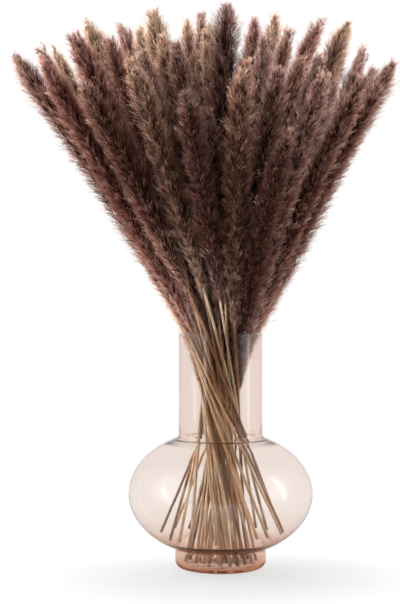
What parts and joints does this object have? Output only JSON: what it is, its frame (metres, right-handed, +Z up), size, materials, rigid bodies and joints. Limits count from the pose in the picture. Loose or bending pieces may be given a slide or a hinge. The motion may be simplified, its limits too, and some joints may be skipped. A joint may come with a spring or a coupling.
{
  "type": "dried pampas grass in vase",
  "caption": "Bunch of dried brown pampas grass heads fanning out of a clear blush glass vase with a round bulb, straight neck and small foot.",
  "frame": {"origin": "centre of the vase's flat base, on the surface it stands on", "axes": "+Z up along the vase's axis; the bunch is fullest seen from -Y, with +X to the right"},
  "size_m": [0.3126, 0.2995, 0.466],
  "materials": {
    "glass": "clear, gloss",
    "brown": "fluffy, matt",
    "umber": "fluffy, matt",
    "russet": "fluffy, matt",
    "mauve": "fluffy, matt",
    "beige": "fluffy, matt"
  },
  "bodies": {
    "root": {"vase": "glass", "grass_stalk_01": "brown", "grass_stalk_02": "russet", "grass_stalk_03": "russet", "grass_stalk_04": "brown", "grass_stalk_05": "beige", "grass_stalk_06": "mauve", "grass_stalk_07": "beige", "grass_stalk_08": "umber", "grass_stalk_09": "mauve", "grass_stalk_10": "brown", "grass_stalk_11": "brown", "grass_stalk_12": "brown", "grass_stalk_13": "russet", "grass_stalk_14": "mauve", "grass_stalk_15": "umber", "grass_stalk_16": "umber", "grass_stalk_17": "umber", "grass_stalk_18": "umber", "grass_stalk_19": "mauve", "grass_stalk_20": "brown", "grass_stalk_21": "mauve", "grass_stalk_22": "beige", "grass_stalk_23": "beige", "grass_stalk_24": "beige", "grass_stalk_25": "umber", "grass_stalk_26": "mauve", "grass_stalk_27": "brown", "grass_stalk_28": "russet", "grass_stalk_29": "beige", "grass_stalk_30": "russet", "grass_stalk_31": "brown", "grass_stalk_32": "beige", "grass_stalk_33": "umber", "grass_stalk_34": "beige", "grass_stalk_35": "russet", "grass_stalk_36": "beige", "grass_stalk_37": "umber", "grass_stalk_38": "mauve", "grass_stalk_39": "brown", "grass_stalk_40": "beige", "grass_stalk_41": "beige", "grass_stalk_42": "brown", "grass_stalk_43": "mauve", "grass_stalk_44": "mauve", "grass_stalk_45": "umber", "grass_stalk_46": "beige", "grass_stalk_47": "brown", "grass_stalk_48": "mauve", "grass_stalk_49": "brown", "grass_stalk_50": "mauve"}
  },
  "joints": []
}
